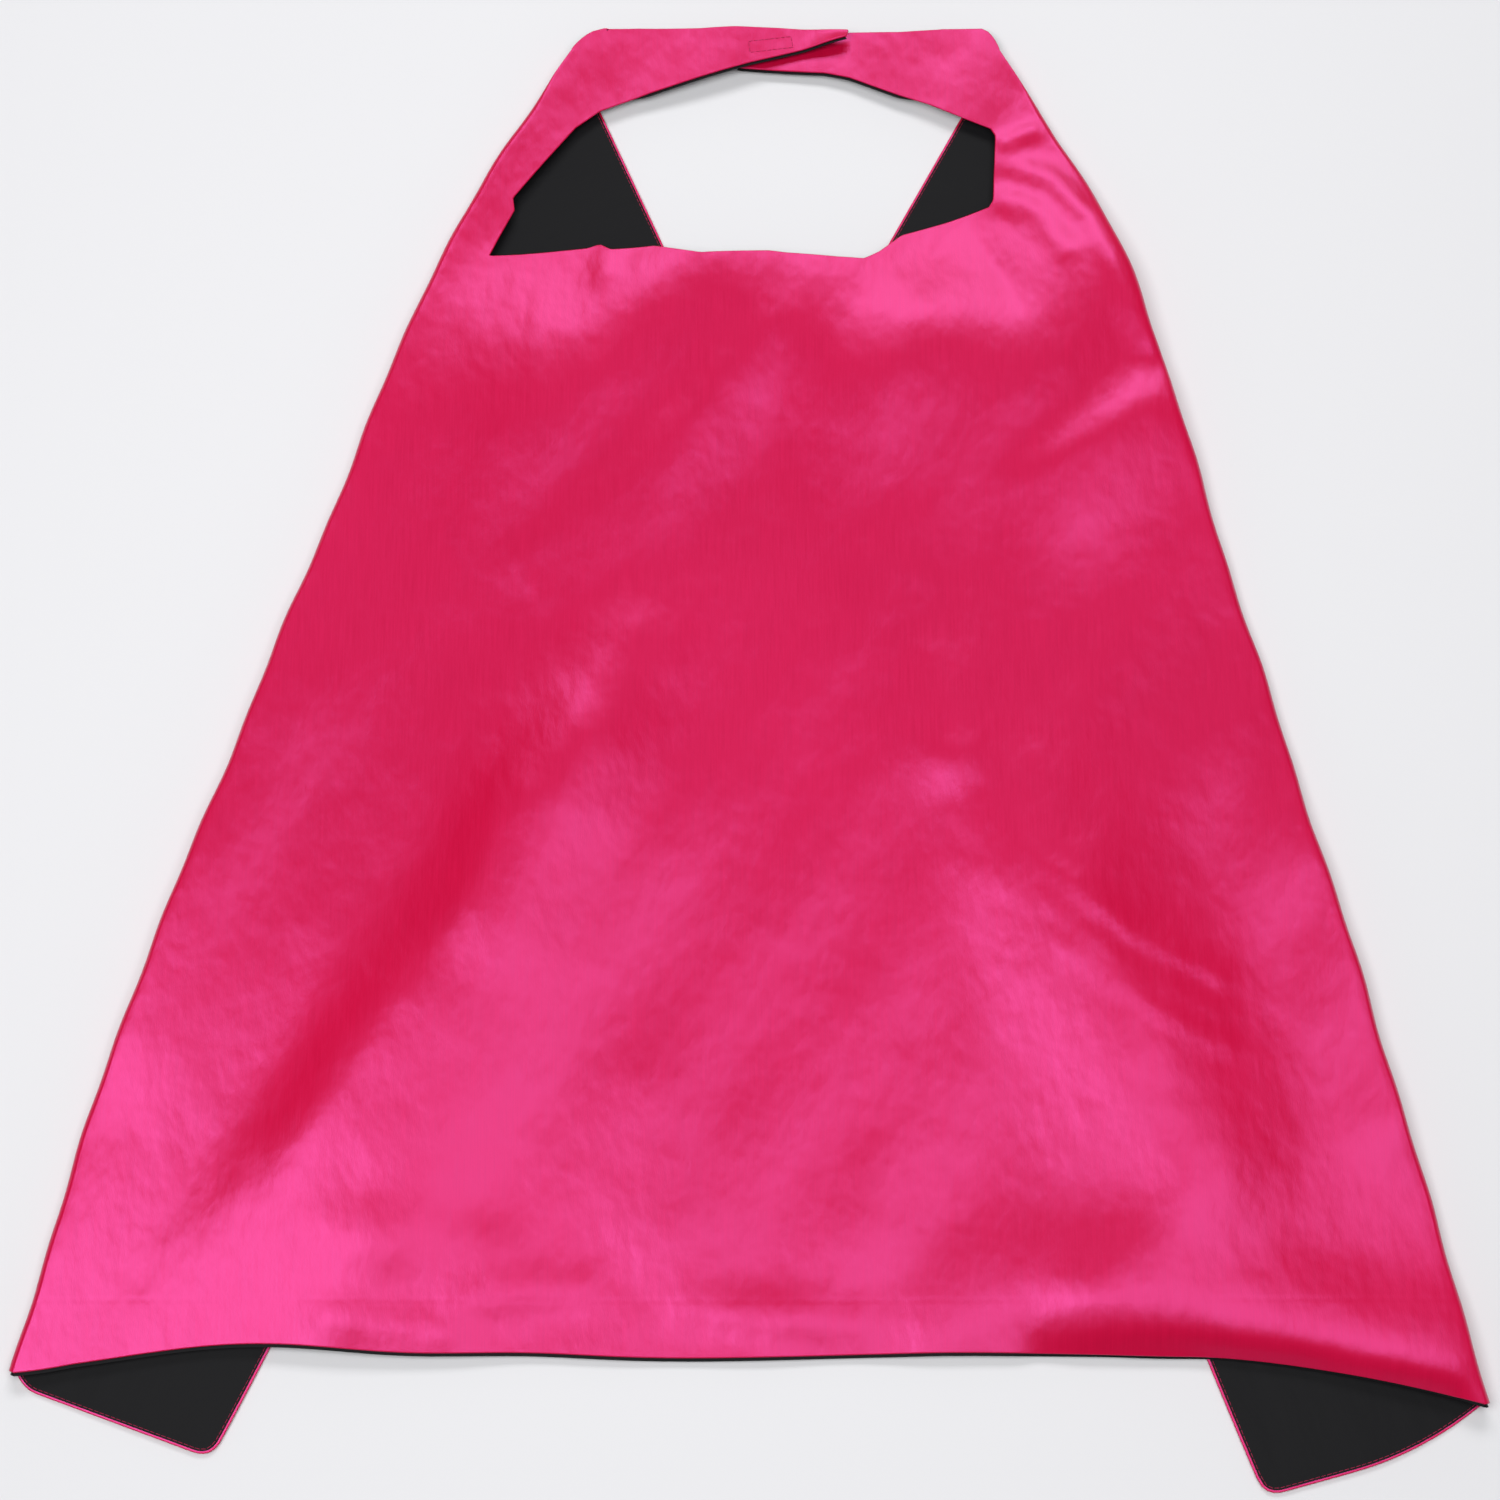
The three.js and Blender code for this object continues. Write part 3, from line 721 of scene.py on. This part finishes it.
def stretch(name, mark, top, bottom, edge_rings, edge_facings, material):
    """A closed piece of cloth with the net's faces of one mark, from its top surface to its bottom one."""
    chosen = faces[marks == mark]
    used = np.unique(chosen)
    count = len(used)
    here = {int(v): k for k, v in enumerate(used)}
    on_edge = [v for v in used.tolist() if v in place_in_loop]
    slots = np.array([place_in_loop[v] for v in on_edge])
    ring_start = {v: 2 * count + k for k, v in enumerate(on_edge)}
    vertices = [top[used], bottom[used]]
    directions = [facing[used], -facing[used]]
    coordinates = [cloth[used], cloth[used]]
    for ring, ring_facing in zip(edge_rings, edge_facings):
        vertices.append(ring[slots])
        directions.append(ring_facing[slots])
        coordinates.append(cloth[on_edge] + (ring - edge)[slots, :2])
    renumbered = np.vectorize(here.get)(chosen)
    polygons = renumbered.tolist() + (renumbered[:, ::-1] + count).tolist()

    def down(v, ringed):
        """The piece's points from its top surface to its bottom one, at a point of its edge."""
        middle = [ring_start[v] + k * len(on_edge) for k in range(len(edge_rings))] if ringed else []
        return [here[v]] + middle + [here[v] + count]

    chosen_sides = quad_sides(chosen)
    inner_sides = set(chosen_sides)
    arrives, leaves = {}, {}
    for a, b in chosen_sides:
        if (b, a) in inner_sides:
            continue
        ringed = edge_next.get(a) == b
        arrives[b], leaves[a] = ringed, ringed
        first, last = down(a, ringed), down(b, ringed)
        for k in range(len(first) - 1):
            polygons.append([last[k], first[k], first[k + 1], last[k + 1]])
    for v in arrives:
        if edge_rings and arrives[v] != leaves[v]:
            cap = down(v, True)
            polygons.append(cap if arrives[v] else cap[::-1])
    vertices = np.vstack(vertices)
    coordinates = np.vstack(coordinates)
    mesh = bpy.data.meshes.new(name)
    mesh.from_pydata(vertices.tolist(), [], polygons)
    layer = mesh.uv_layers.new(name="cut")
    corners = np.zeros(len(mesh.loops), int)
    mesh.loops.foreach_get("vertex_index", corners)
    layer.data.foreach_set("uv", coordinates[corners].ravel().astype(np.float32))
    mesh.polygons.foreach_set("use_smooth", np.ones(len(mesh.polygons), bool))
    mesh.normals_split_custom_set_from_vertices(unit(np.vstack(directions)).tolist())
    mesh.materials.append(material)
    piece = bpy.data.objects.new(name, mesh)
    bpy.context.scene.collection.objects.link(piece)
    return piece


# Each part's name, and the size and area of one layer of it laid flat.
parts = {
    BACK: ("back_panel", (0.707, 0.735), 0.325),
    LEFT: ("left_flap", (0.180, 0.760), 0.105),
    RIGHT: ("right_flap", (0.180, 0.790), 0.110),
    UPPER: ("upper_tab", (0.125, 0.043), 0.0028),
    LOWER: ("lower_tab", (0.103, 0.043), 0.0030),
}
# Each part's joint, and where the cloth starts and ends its bend, measured from the hinge.
bends = {
    LEFT: ("left_flap_unfold", (0, 0, 0.00045), (0, 0, -0.00025)),
    RIGHT: ("right_flap_unfold", (0, 0, 0.00045), (0, 0, -0.00025)),
    UPPER: ("upper_tab_peel", (0, 0, 0), (0.0296, 0.0047, 0)),
    LOWER: ("lower_tab_lift", (0, 0, 0), (-0.0296, 0.0047, 0)),
}
lining_bend_drop = 0.00028


def join_body(piece, mark, inner=False):
    """The back is one body. A flap or a strap only has its placement baked into its mesh."""
    if mark == BACK:
        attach(piece, "back")
        return
    joint, start, end = bends[mark]
    hinge = np.array(joints[joint]["pos_m"])
    if inner and mark in (LEFT, RIGHT):
        hinge = hinge - [0, 0, lining_bend_drop]
    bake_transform(piece)


shell_bottom = net - facing * shell_cloth
shell_bottom[loop] -= outward * roll_tuck
# The lining is set back along the edge, but looks out at the hem and under the straps.
lining_shift = np.full(len(loop), lining_back)
lining_shift[(edge[:, 1] < origin_y + hem_band) & (edge[:, 2] > over_flaps)] = lining_out_at_hem
lining_shift += lining_out_at_straps * np.array([strap_feet.get(int(v), 0.0) for v in loop])
lining_top = net - facing * gap
lining_top[loop] += outward * lining_shift[:, None]
for number, drop in lining_drop.items():
    lining_top[number, 2] -= drop
lining_bottom = lining_top - facing * lining_cloth
made = {}
for mark, (name, flat, area) in parts.items():
    shell = stretch(name + "_shell_satin", mark, net, shell_bottom, rings, ring_facings, satin)
    lining = stretch(name + "_lining_satin", mark, lining_top, lining_bottom, [], [], black)
    join_body(shell, mark)
    join_body(lining, mark, inner=True)
    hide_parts(name + "_shell")
    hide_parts(name + "_lining")
    made[mark] = (shell, lining)


# ---------------- seams
# One row of crimson polyester lockstitches runs along the whole edge, in the groove between the shell's roll
# and the lining. One stitch is shaped and then repeated along each stretch of the edge.
thread, cut, shader = new_material("sewing_thread", {"Specular IOR Level": 0.35})
twist = (cut.part("X") * 40.0 + cut.part("Y") * 12.0).wave()
fuzz = cut.noise(9.0, 2.0)
connect(
    shader, cut,
    Base_Color=(twist * 0.5 + fuzz).blend((0.20, 0.004, 0.030, 1), (0.50, 0.016, 0.090, 1)),
    Roughness=fuzz * 0.2 + 0.5,
    bump=twist * 0.00002,
)


def shape_faces(piece, test):
    """Opens a piece for editing, with only the faces selected whose centre and normal pass the test."""
    bpy.ops.object.select_all(action="DESELECT")
    bpy.context.view_layer.objects.active = piece
    piece.select_set(True)
    bpy.ops.object.mode_set(mode="EDIT")
    bpy.ops.mesh.select_mode(type="FACE")
    bpy.ops.mesh.select_all(action="DESELECT")
    bpy.ops.object.mode_set(mode="OBJECT")
    for face in piece.data.polygons:
        face.select = test(face.center, face.normal)
    bpy.ops.object.mode_set(mode="EDIT")


def as_pattern(piece):
    """The points and faces of a shaped piece, which is then removed."""
    mesh = piece.data
    spots = np.array([v.co[:] for v in mesh.vertices])
    shapes = [list(face.vertices) for face in mesh.polygons]
    bpy.data.objects.remove(piece)
    return spots, shapes


stitch_length, stitch_pitch, thread_radius = 0.0023, 0.0029, 0.00015
first_stitch, last_stitch = 0.0016, 0.0014  # from the ends of a row
bpy.ops.object.select_all(action="DESELECT")
bpy.ops.mesh.primitive_cylinder_add(vertices=6, radius=thread_radius, depth=stitch_length)
shape_faces(bpy.context.object, lambda centre, normal: abs(normal.z) > 0.9)
bpy.ops.mesh.bevel(offset=thread_radius * 0.55, segments=1, affect="EDGES")
bpy.ops.object.mode_set(mode="OBJECT")
bpy.context.object.rotation_euler = (0, math.pi / 2, 0)
bpy.ops.object.transform_apply(location=False, rotation=True, scale=False)
stitch = as_pattern(bpy.context.object)


def repeat(name, pattern, places, forward, upward, material):
    """One piece made of a pattern repeated at places, each with its own forward and upward directions."""
    spots, shapes = pattern
    forward = unit(forward)
    sideways = unit(np.cross(upward, forward))
    upward = np.cross(forward, sideways)
    turned = spots[None, :, 0, None] * forward[:, None] + spots[None, :, 1, None] * sideways[:, None]
    turned = turned + spots[None, :, 2, None] * upward[:, None] + places[:, None]
    polygons = [[v + k * len(spots) for v in shape] for k in range(len(places)) for shape in shapes]
    mesh = bpy.data.meshes.new(name)
    mesh.from_pydata(turned.reshape(-1, 3).tolist(), [], polygons)
    corners = np.zeros(len(mesh.loops), int)
    mesh.loops.foreach_get("vertex_index", corners)
    within, between = 400, 40  # so that each copy has its own bit of colour
    own = np.tile(spots[:, :2] * within, (len(places), 1))
    own = own + np.repeat(places[:, :2] * between, len(spots), axis=0)
    layer = mesh.uv_layers.new(name="cut")
    layer.data.foreach_set("uv", own[corners].ravel().astype(np.float32))
    mesh.polygons.foreach_set("use_smooth", np.ones(len(mesh.polygons), bool))
    mesh.materials.append(material)
    piece = bpy.data.objects.new(name, mesh)
    bpy.context.scene.collection.objects.link(piece)
    return piece


def row_of_stitches(name, places, upward):
    """Stitches end to end along a way of places."""
    steps = np.linalg.norm(np.diff(places, axis=0), axis=1)
    run = np.concatenate([[0], np.cumsum(steps)])
    at = np.arange(first_stitch, run[-1] - last_stitch, stitch_pitch)
    spots = np.stack([np.interp(at, run, places[:, k]) for k in range(3)], 1)
    ups = np.stack([np.interp(at, run, upward[:, k]) for k in range(3)], 1)
    ahead_of = np.stack([np.interp(at + 0.001, run, places[:, k]) for k in range(3)], 1)
    return repeat(name, stitch, spots, ahead_of - spots + 1e-9, unit(ups), thread)


seam_inset, seam_inset_at_lining, seam_clearance = 0.0016, 0.0004, 0.00006
groove = edge - outward * seam_inset - edge_facing * (gap + lining_cloth + seam_clearance)
beside_lining = edge - outward * seam_inset_at_lining - edge_facing * (gap * 0.5)
groove[lining_shift > 0] = beside_lining[lining_shift > 0]
below_neck = 0.1
seam_marks = []
for a in loop.tolist():
    mark = mark_of_side[(a, edge_next[a])]
    at_hem = mark == BACK and net[a][1] < origin_y + below_neck
    seam_marks.append("hem" if at_hem else mark)
turns_at = [k for k in range(len(loop)) if seam_marks[k] != seam_marks[k - 1]]
runs_of = {}
for first, after in zip(turns_at, turns_at[1:] + [turns_at[0] + len(loop)]):
    along = [k % len(loop) for k in range(first, after + 1)]
    runs_of.setdefault(seam_marks[first], []).append(along)
seam_names = {
    "hem": "hem_seam", BACK: "neckline_seam", LEFT: "left_flap_seam", RIGHT: "right_flap_seam",
    UPPER: "upper_tab_seam", LOWER: "lower_tab_seam",
}
seams = {mark: [] for mark in parts}
for key, stretches in runs_of.items():
    name = seam_names[key]
    mark = BACK if key == "hem" else key
    for number, along in enumerate(stretches):
        if len(along) < 3:
            continue
        letter = "" if len(stretches) == 1 else "_" + "abcdefg"[number]
        piece = row_of_stitches(name + "_stitches" + letter, groove[along], -edge_facing[along])
        join_body(piece, mark)
        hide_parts(name)
        seams[mark].append(piece)


# ---------------- neck fastening
# A strip of hook tape sits under the upper strap's tip and one of loop tape on top of the lower strap. Each
# is a black woven nylon band with rounded corners, sewn on round its edge through the strap.
nylon, cut, shader = new_material("tape", {"Specular IOR Level": 0.3})
ribs = (cut.part("Y") * 5200.0).wave() * 0.5 + (cut.part("X") * 5200.0).wave() * 0.5
connect(
    shader, cut,
    Base_Color=ribs.ramp(-0.6, 0.8).blend((0.004, 0.004, 0.005, 1), (0.014, 0.014, 0.016, 1)),
    Roughness=cut.noise(900.0) * 0.2 + 0.65,
    bump=ribs * 0.00006,
)
tape_length, tape_width, tape_base = 0.025, 0.0085, 0.0006
tape_clearance = 0.00006  # between a tape and its strap
pile_sunk = 0.00012  # how deep the hooks and loops stand in the band
pile_margin, pile_step, pile_row = 0.0017, 0.00095, 0.00085
tape_seam_inset = (0.0010, 0.00105)
thread_clearance = 0.00008
tape_turn = math.radians(8)
tape_middle = np.array([0.011, cape_length - 0.0098])
tape_along = np.array([math.cos(tape_turn), math.sin(tape_turn)])
tape_across = np.array([-tape_along[1], tape_along[0]])


def tape_plan(u, v):
    """Plan points at places measured along and across the tape, from its middle."""
    spot = tape_middle + np.multiply.outer(u, tape_along) + np.multiply.outer(v, tape_across)
    return spot[..., 0], spot[..., 1]


def lie_on(piece, surface, offset, side):
    """Lays a flat piece against a strap's surface, on its upper side or its under side."""
    for vertex in piece.data.vertices:
        x, y = tape_plan(vertex.co.x, vertex.co.y)
        z = surface(x, y) + offset + side * vertex.co.z
        vertex.co = (x + origin_x, y + origin_y, z)
    if side < 0:
        piece.data.flip_normals()


def make_band(name, surface, offset, side):
    """A band with rounded corners and a woven edge, laid against a strap's surface."""
    bpy.ops.object.select_all(action="DESELECT")
    bpy.ops.mesh.primitive_cube_add(size=1, location=(0, 0, tape_base / 2))
    band = bpy.context.object
    band.name = name
    band.scale = (tape_length, tape_width, tape_base)
    bpy.ops.object.transform_apply(location=True, rotation=False, scale=True)
    bpy.ops.object.mode_set(mode="EDIT")
    bpy.ops.mesh.select_mode(type="EDGE")
    bpy.ops.mesh.select_all(action="DESELECT")
    bpy.ops.object.mode_set(mode="OBJECT")
    for side_edge in band.data.edges:
        a, b = (band.data.vertices[v].co for v in side_edge.vertices)
        side_edge.select = abs(a.z - b.z) > tape_base / 2
    bpy.ops.object.mode_set(mode="EDIT")
    bpy.ops.mesh.bevel(offset=0.0014, segments=4, affect="EDGES")
    for k in range(-5, 6):
        bpy.ops.mesh.select_all(action="SELECT")
        bpy.ops.mesh.bisect(plane_co=(k * 0.002, 0, 0), plane_no=(1, 0, 0))
    bpy.ops.object.mode_set(mode="OBJECT")
    shape_faces(band, lambda centre, normal: normal.z > 0.9)
    bpy.ops.mesh.inset(thickness=0.0007, depth=0)
    bpy.ops.mesh.inset(thickness=0.0002, depth=-0.00012)
    bpy.ops.object.mode_set(mode="OBJECT")
    layer = band.data.uv_layers.new(name="cut")
    for corner in band.data.loops:
        layer.data[corner.index].uv = band.data.vertices[corner.vertex_index].co[:2]
    lie_on(band, surface, offset, side)
    band.data.materials.clear()
    band.data.materials.append(nylon)
    return band


def tape_grid():
    """Where the hooks or loops stand on a tape."""
    u = np.arange(-tape_length / 2 + pile_margin, tape_length / 2 - pile_margin + 0.0001, pile_step)
    v = np.arange(-tape_width / 2 + pile_margin, tape_width / 2 - pile_margin + 0.0001, pile_row)
    u, v = np.meshgrid(u, v)
    return u.ravel(), v.ravel()


# One hook is a bristle with a bent end, and one loop a small ring half sunk in the band.
bpy.ops.object.select_all(action="DESELECT")
bpy.ops.mesh.primitive_cylinder_add(vertices=5, radius=0.00009, depth=0.0004, location=(0, 0, 0.0002))
bpy.ops.object.transform_apply(location=True, rotation=False, scale=False)
shape_faces(bpy.context.object, lambda centre, normal: normal.z > 0.9)
for move in ((0.00010, 0, 0.00014), (0.00016, 0, 0.00002), (0.00010, 0, -0.00012)):
    bpy.ops.mesh.extrude_region_move(TRANSFORM_OT_translate={"value": move})
bpy.ops.object.mode_set(mode="OBJECT")
hook = as_pattern(bpy.context.object)
bpy.ops.object.select_all(action="DESELECT")
bpy.ops.mesh.primitive_torus_add(
    major_segments=9, minor_segments=4, major_radius=0.00028, minor_radius=0.00005,
    rotation=(math.pi / 2, 0, 0),
)
bpy.ops.object.transform_apply(location=False, rotation=True, scale=False)
loop_ring = as_pattern(bpy.context.object)


def upper_underside(x, y):
    return upper_strap_height(x, y) - gap - lining_cloth


def lower_underside(x, y):
    return lower_strap_height(x, y) - gap - lining_cloth


def add_tape(name, pile_name, pattern, mark, surface, far_surface, side):
    """A tape on one surface of a strap, with its pile and with the seam round it on both surfaces."""
    band = make_band(name + "_band", surface, side * tape_clearance, side)
    u, v = tape_grid()
    v = v + 0.00012 * np.sin(u * 9000)
    x, y = tape_plan(u, v)
    z = surface(x, y) + side * (tape_clearance + tape_base - pile_sunk)
    spots = np.column_stack([x + origin_x, y + origin_y, z])
    turned = np.sin(u * 7000 + v * 3000) * 0.6
    ahead_of = np.column_stack([np.cos(turned), np.sin(turned), turned * 0])
    upward = np.tile([0.0, 0.0, float(side)], (len(u), 1))
    pile = repeat(name + pile_name, pattern, spots, ahead_of, upward, nylon)
    u_end, v_end = tape_length / 2 - tape_seam_inset[0], tape_width / 2 - tape_seam_inset[1]
    corners = [(-u_end, -v_end), (u_end, -v_end), (u_end, v_end), (-u_end, v_end)]
    round_tape = along_way(corners + corners[:1], 60)
    x, y = tape_plan(round_tape[:, 0], round_tape[:, 1])
    far = np.column_stack([x + origin_x, y + origin_y, far_surface(x, y) - side * thread_clearance])
    near = far.copy()
    near[:, 2] = surface(x, y) + side * (tape_clearance + tape_base + thread_clearance)
    outer_side = np.tile([0.0, 0.0, -float(side)], (len(x), 1))
    far_stitches = row_of_stitches(name + "_stitches_far", far, outer_side)
    near_stitches = row_of_stitches(name + "_stitches_near", near, -outer_side)
    for piece, node, kind in (
        (band, name, "tape"),
        (pile, name, "tape"),
        (far_stitches, name + "_stitching", "sewing_thread"),
        (near_stitches, name + "_stitching", "sewing_thread"),
    ):
        join_body(piece, mark)
        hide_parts(node)
    return [band, pile, far_stitches, near_stitches]


tapes = {
    UPPER: add_tape("hook_patch", "_hooks", hook, UPPER, upper_underside, upper_strap_height, -1),
    LOWER: add_tape("loop_patch", "_loops", loop_ring, LOWER, lower_strap_height, lower_underside, 1),
}
for mark, (name, flat, area) in parts.items():
    for layer in made[mark]:
        extra = seams[mark] + tapes.get(mark, []) if layer is made[mark][0] else []


# ---------------- table, light and camera
# A white table under three large soft lights, between pale walls. The camera looks down at it steeply from
# the hem's side, as a person does who stands at the table.
bpy.ops.mesh.primitive_plane_add(size=60, location=(0, 0, -0.0002))
table = bpy.context.object
table.name = "table_top"
white = bpy.data.materials.new("table_white")
white.use_nodes = True
table_shader = white.node_tree.nodes["Principled BSDF"]
table_shader.inputs["Base Color"].default_value = (0.70, 0.70, 0.72, 1)
table_shader.inputs["Roughness"].default_value = 0.7
table.data.materials.append(white)

scene = bpy.context.scene
world = bpy.data.worlds.new("room")
world.use_nodes = True
room_light = world.node_tree.nodes["Background"]
room_light.inputs["Color"].default_value = (1, 1, 1, 1)
direction = world.node_tree.nodes.new("ShaderNodeTexCoord")
above = Shade(world.node_tree, direction.outputs["Generated"]).part("Z")
lower_walls, ceiling = above.ramp(-0.02, 0.22, 0.26, 0.66), above.ramp(0.16, 0.48, 1, 0.20)
pale_walls = lower_walls * ceiling
world.node_tree.links.new(pale_walls.socket, room_light.inputs["Strength"])
scene.world = world


def soft_light(name, location, target, sizes, power):
    """A rectangular light at a place, turned to its target."""
    data = bpy.data.lights.new(name, "AREA")
    data.shape = "RECTANGLE"
    data.size, data.size_y = sizes
    data.energy = power
    light = bpy.data.objects.new(name, data)
    scene.collection.objects.link(light)
    light.location = location
    light.rotation_euler = (Vector(target) - Vector(location)).to_track_quat("-Z", "Y").to_euler()


soft_light("key", (-0.70, -0.38, 2.0), (-0.1, -0.1, 0), (0.9, 0.8), 21)
soft_light("low", (0.45, -0.31, 2.0), (0.1, -0.1, 0), (1.1, 1.0), 16)
soft_light("back", (0.0, 1.90, 2.0), (0, 0.2, 0), (1.8, 0.8), 35)
scene.view_settings.view_transform = "Standard"

camera_data = bpy.data.cameras.new("camera")
camera_data.lens = 76.33
camera_data.sensor_width = 36
camera = bpy.data.objects.new("camera", camera_data)
scene.collection.objects.link(camera)
aim_at = np.array([0.0006, -0.0179, 0.0080])
camera_distance, tilt = 1.6, math.radians(75)
camera.location = aim_at + camera_distance * np.array([0, -math.cos(tilt), math.sin(tilt)])
camera.rotation_euler = (math.pi / 2 - tilt, 0, 0)
scene.camera = camera
